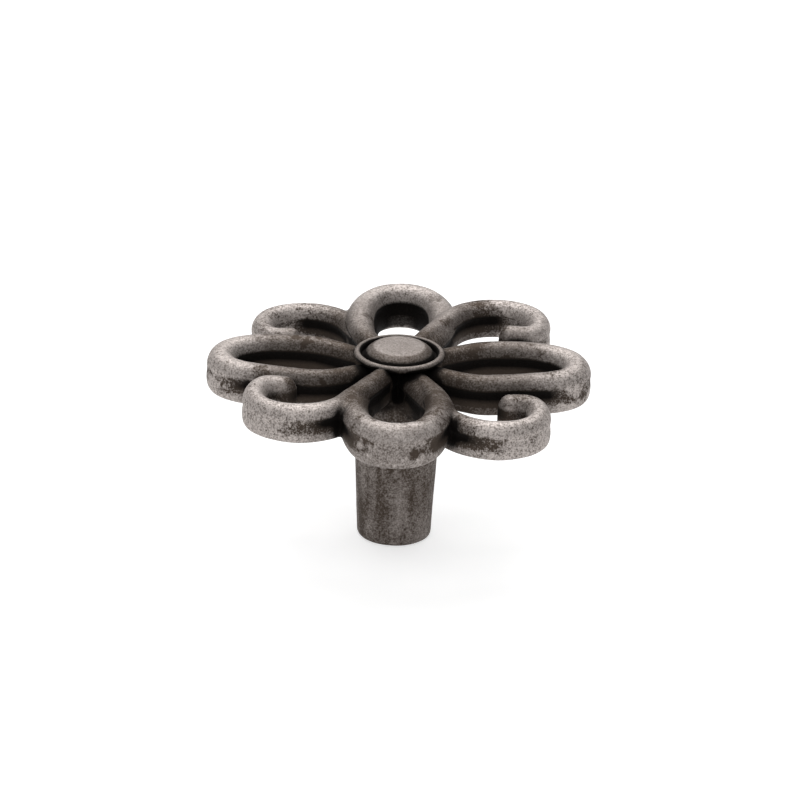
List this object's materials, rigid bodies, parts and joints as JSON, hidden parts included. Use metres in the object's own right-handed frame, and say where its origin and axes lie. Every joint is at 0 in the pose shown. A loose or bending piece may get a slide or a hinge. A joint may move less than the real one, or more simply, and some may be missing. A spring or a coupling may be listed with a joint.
{
  "type": "cabinet knob",
  "caption": "Cast cabinet knob: a tapered round stem carries an open rosette of looped petals and curled scrolls around a ringed button, in dark weathered pewter.",
  "frame": {"origin": "centre of the foot, in the flat face that is drawn against the door or drawer front", "axes": "+Z along the stem, out of the door; the slim petals point along +X and -X, the full petals along +Y and -Y"},
  "size_m": [0.0444, 0.0448, 0.0236],
  "materials": {
    "knob_casting": "weathered antique pewter over a zinc casting: dark brown-grey with near-black recesses and lighter rubbed crests, satin and finely grained"
  },
  "bodies": {
    "root": {"knob_casting": "knob_casting"}
  },
  "joints": []
}
